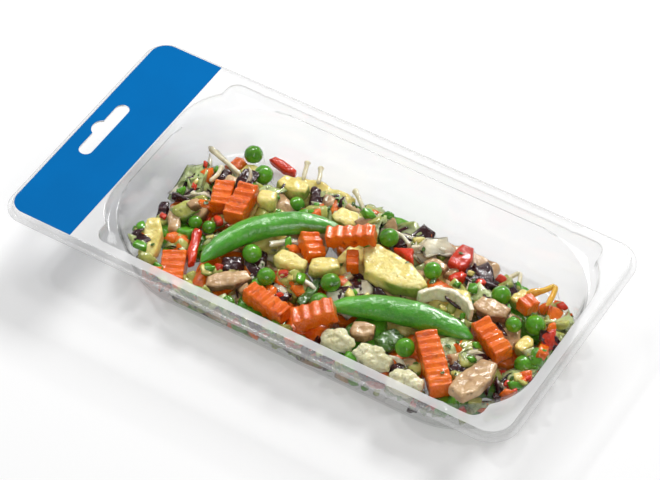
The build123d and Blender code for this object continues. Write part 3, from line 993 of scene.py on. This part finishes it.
def with_slot(mesh, thickness=None):
    """A mesh with the hanging slot cut, given a thickness first if it is a bare sheet."""
    outline = arc(slot_place, slot_half, slot_round, 0, 180, 16)
    outline += arc(hump_place, 0, hump_round, 117, 126, 12)
    outline += arc(slot_place, -slot_half, slot_round, 180, 180, 16)
    cutter = bpy.data.objects.new("cutter", slab("slot", outline, cutter_level, cutter_height))
    scratch = bpy.data.objects.new("scratch", mesh)
    collection.objects.link(scratch)
    collection.objects.link(cutter)
    if thickness is not None:
        solid = scratch.modifiers.new("sheet", "SOLIDIFY")
        solid.thickness = thickness
        solid.offset = -1
    cut = scratch.modifiers.new("slot", "BOOLEAN")
    cut.object = cutter
    cut.operation = "DIFFERENCE"
    cut.solver = "EXACT"
    mesh = evaluated(scratch)
    bpy.data.objects.remove(cutter)
    return mesh


def clear_of_slot(point):
    """Whether a point of the film lies off the hanging slot, which the printed panel rims."""
    return abs(point[0] - slot_place) > slot_rim[0] or abs(point[1]) > slot_rim[1]


def outline_angles(around):
    """Directions from the cavity's middle that space points evenly along its mouth."""
    dense = np.linspace(0, 2 * math.pi, 7201)
    far = reach(mouth_distance, 0, dense)
    steps = np.hypot(np.diff(far * np.cos(dense)), np.diff(far * np.sin(dense)))
    along = np.concatenate(([0], np.cumsum(steps)))
    return np.interp(np.arange(around) / around * along[-1], along, dense)


def tray_mesh(angles):
    """The tray: the swept sheet given its thickness, with the hanging slot cut."""
    mesh = with_slot(skin(swept(sheet_profile(), angles, (0.75, 0.4))), sheet)
    across, along = read_points(mesh)[0][:, :2].T
    shade(mesh, "seal", np.clip(flange_distance(across, along, 0) / seal_fade + 1, 0, 1))
    return mesh


def film_mesh(tree, angles):
    """The skin film: flat over the flange, down the walls, and drawn onto the food."""
    profile = sheet_profile()
    start = next(i for i, ring in enumerate(profile) if ring[0] is mouth_distance)
    flange = [(flange_distance, film_edge, flange_top)]
    shares = [1 - i / drape_rows for i in range(1, drape_rows)]
    rows = swept(flange + profile[start:], angles, shares)
    outer, mouth = rows[0], rows[1]
    between = [outer + (mouth - outer) * i / header_rows for i in range(1, header_rows)]
    drape = np.array(rows[1:])
    for row in drape:
        for point in row:
            x, y, level = point
            hit = seen_from_above(tree, x, y)
            if hit is not None and inside_depth(x, y) > drape_edge:
                point[2] = max(level, hit.z)
    raw = drape[:, :, 2].copy()
    level = raw.copy()
    for _ in range(drape_rounds):
        padded = np.concatenate((level[:1], level, level[-1:]))
        sides = (np.roll(level, 1, 1) + np.roll(level, -1, 1) + padded[:-2] + padded[2:]) / 4
        level = np.maximum(0.4 * level + 0.6 * sides, raw)
    drape[:, :, 2] = np.where(raw > drape_top, raw, level)
    rows = [outer] + between + list(drape)
    for row in rows:
        row[:, 2] += film_lift
    mesh = skin(rows, clear_of_slot)
    level = read_points(mesh)[0][:, 2]
    shade(mesh, "seal", np.clip((level - film_seal_level) / film_seal_fade, 0, 1))
    return mesh


def panel_mesh():
    """The printed panel: over the header to the flange's edge, with the hanging slot cut."""
    x, y = panel_outer + panel_corner, panel_half - panel_corner
    outline = [(panel_inner, -panel_half), (panel_inner, panel_half)]
    outline += arc(x, y, panel_corner, 90, 90, 12)
    outline += arc(x, -y, panel_corner, 180, 90, 12)
    return with_slot(slab("panel", outline, panel_level, panel_thickness))


# Floor and light

floor_half = 3
floor_glow = 0.27
world_strength = 0.27


def make_floor():
    """A pale floor that the camera sees as white but for the shadow."""
    mesh = bpy.data.meshes.new("floor")
    corners = [(x * floor_half, y * floor_half, 0) for x, y in ((-1, -1), (1, -1), (1, 1), (-1, 1))]
    mesh.from_pydata(corners, [], [(0, 1, 2, 3)])
    floor = bpy.data.objects.new("floor", mesh)
    collection.objects.link(floor)
    s = Shader("floor")
    lit = s.add("ShaderNodeBsdfDiffuse")
    lit.inputs["Color"].default_value = (0.7, 0.7, 0.7, 1)
    path = s.add("ShaderNodeLightPath")
    seen = s.combine("MAXIMUM", path.outputs["Is Camera Ray"], path.outputs["Is Transmission Ray"])
    seen = s.combine("MAXIMUM", seen, path.outputs["Is Glossy Ray"])
    glow = s.add("ShaderNodeEmission")
    s.link(s.combine("MULTIPLY", seen, floor_glow), glow.inputs["Strength"])
    both = s.add("ShaderNodeAddShader")
    s.link(lit.outputs[0], both.inputs[0])
    s.link(glow.outputs[0], both.inputs[1])
    s.link(both.outputs[0], s.out.inputs["Surface"])
    mesh.materials.append(s.material)


def make_light():
    """Even light from all round, a key from behind, a fill, and two that shine on the plastic."""
    world = bpy.data.worlds.new("world")
    bpy.context.scene.world = world
    world.use_nodes = True
    background = world.node_tree.nodes["Background"]
    background.inputs["Color"].default_value = (1, 1, 1, 1)
    background.inputs["Strength"].default_value = world_strength
    area_light("key", (-0.12, 1.05, 0.85), 0.35, 13.5)
    area_light("front", (0.7, -0.7, 0.9), 0.5, 3.4)
    area_light("top", (-0.5, 0.5, 1.1), 0.25, 2.4)
    area_light("spark", (-0.75, 0.15, 1.0), 0.07, 2.6)


make_camera()
looks = food_looks()
food = build_food(looks)
bits = lay_bits(food, looks)

# Each clear sheet's rim is the grey of its painted shade at a grazing angle.
tray_look = clear_material("clear_plastic", body=0.98, rim=0.15, gloss=0.8, rough=0.05, haze=0.22)
film_look = clear_material("clear_film", body=0.99, rim=0.8, gloss=0.5, rough=0.08, haze=0.5,
                           relief=(420, 0.00005))
film = film_mesh(surface_tree(food + bits), outline_angles(film_around))
new_object("skin_film_look", film, film_look, "clear_film", "skin_film")
new_object("tray_look", tray_mesh(outline_angles(tray_around)), tray_look, "clear_plastic", "tray")
panel = new_object("header_label_look", panel_mesh(), print_material(), "blue_print", "header_label")
panel.data.shade_flat()

make_floor()
make_light()

bpy.context.scene.view_settings.view_transform = "Standard"
bpy.context.scene.cycles.transparent_max_bounces = 40
